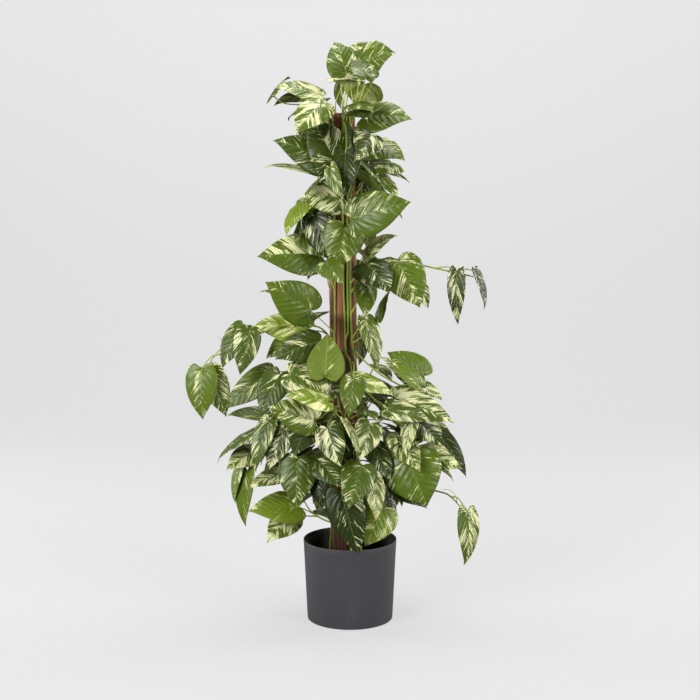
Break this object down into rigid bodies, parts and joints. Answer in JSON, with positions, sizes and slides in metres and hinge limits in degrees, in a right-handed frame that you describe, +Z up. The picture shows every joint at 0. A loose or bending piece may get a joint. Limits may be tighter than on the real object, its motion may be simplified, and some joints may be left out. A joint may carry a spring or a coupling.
{
  "type": "variegated golden pothos on a coir pole in a pot",
  "caption": "Bushy variegated pothos grown up a coir pole, heart-shaped green and cream leaves and trailing side shoots, in a plain tapered pot.",
  "frame": {"origin": "centre of the pot's underside", "axes": "+Z up the plant, -Y towards the front that the picture shows"},
  "size_m": [0.6005, 0.39, 1.1719],
  "materials": {
    "pot": "matt charcoal",
    "potting_fill": "dark crumbly fill",
    "pole_core": "plain",
    "coir": "red-brown coir fibre",
    "tie_wire": "green coated wire",
    "foliage": "satin leaf, green streaked with cream, with paler undersides and stalks"
  },
  "bodies": {
    "root": {"pot": "pot", "potting_fill": "potting_fill", "pole_core": "pole_core", "coir_sleeve": "coir", "tie_wire_lower": "tie_wire", "tie_wire_middle": "tie_wire", "tie_wire_upper": "tie_wire", "vine_01": "foliage", "vine_02": "foliage", "vine_03": "foliage", "vine_04": "foliage", "vine_05": "foliage", "vine_06": "foliage", "vine_07": "foliage", "vine_08": "foliage", "vine_09": "foliage", "vine_10": "foliage", "vine_11": "foliage", "vine_12": "foliage"}
  },
  "joints": []
}
